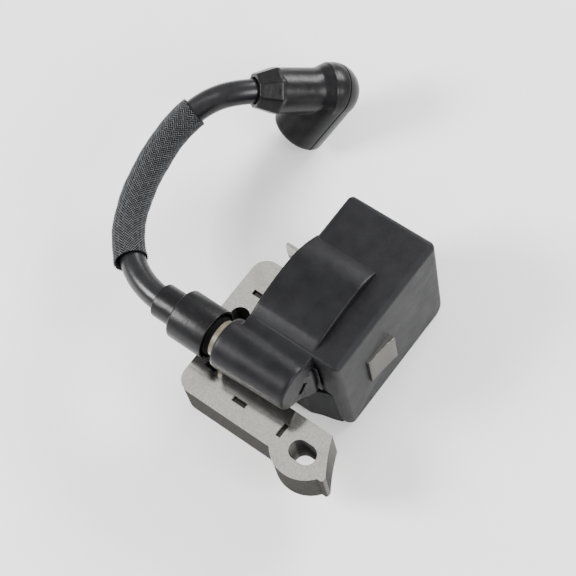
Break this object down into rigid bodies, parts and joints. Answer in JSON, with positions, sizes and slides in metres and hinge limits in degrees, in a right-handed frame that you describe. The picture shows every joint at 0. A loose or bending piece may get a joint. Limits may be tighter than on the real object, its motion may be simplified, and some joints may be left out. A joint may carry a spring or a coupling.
{
  "type": "ignition coil module",
  "caption": "Ignition coil module of a small two-stroke engine: laminated core, potted coil case with side tower, short sleeved lead and angled spark plug boot.",
  "frame": {"origin": "axis of the round mounting hole, at the middle of the lamination stack", "axes": "+Z along the flywheel's axis, square to the laminations; +X from the yoke towards the flywheel; +Y from the front leg to the coil leg. The module stands on the case's rim, 16.65 mm below the origin"},
  "size_m": [0.0977, 0.1064, 0.039],
  "materials": {
    "core_steel": "satin",
    "case_plastic": "satin",
    "resin": "gloss",
    "bobbin_plastic": "satin",
    "copper_wire": "satin",
    "board_laminate": "satin",
    "capacitor_film": "satin",
    "component_black": "matt",
    "resistor_body": "satin",
    "varistor_coat": "gloss",
    "tinned_brass": "satin",
    "brass": "satin",
    "spring_steel": "satin",
    "bush_nylon": "satin",
    "boot_rubber": "satin",
    "lead_jacket": "satin",
    "braid": "matt"
  },
  "bodies": {
    "root": {"core_laminations": "core_steel", "housing": "case_plastic", "potting_resin": "resin", "primary_bobbin": "bobbin_plastic", "secondary_bobbin": "bobbin_plastic", "primary_winding": "copper_wire", "charge_winding": "copper_wire", "trigger_winding": "copper_wire", "secondary_winding": "copper_wire", "circuit_board": "board_laminate", "capacitor": "capacitor_film", "thyristor": "component_black", "timing_chip": "component_black", "charge_diode": "component_black", "kill_diode": "component_black", "gate_resistor": "resistor_body", "trigger_resistor": "resistor_body", "varistor": "varistor_coat", "ground_strap": "tinned_brass", "kill_terminal": "tinned_brass", "hv_jumper": "tinned_brass", "contact_spike": "brass", "plug_pin": "brass", "plug_terminal": "spring_steel", "tower_bush": "bush_nylon", "seal_boot": "boot_rubber", "plug_boot": "boot_rubber", "ht_lead": "lead_jacket", "braided_sleeve": "braid"}
  },
  "joints": []
}
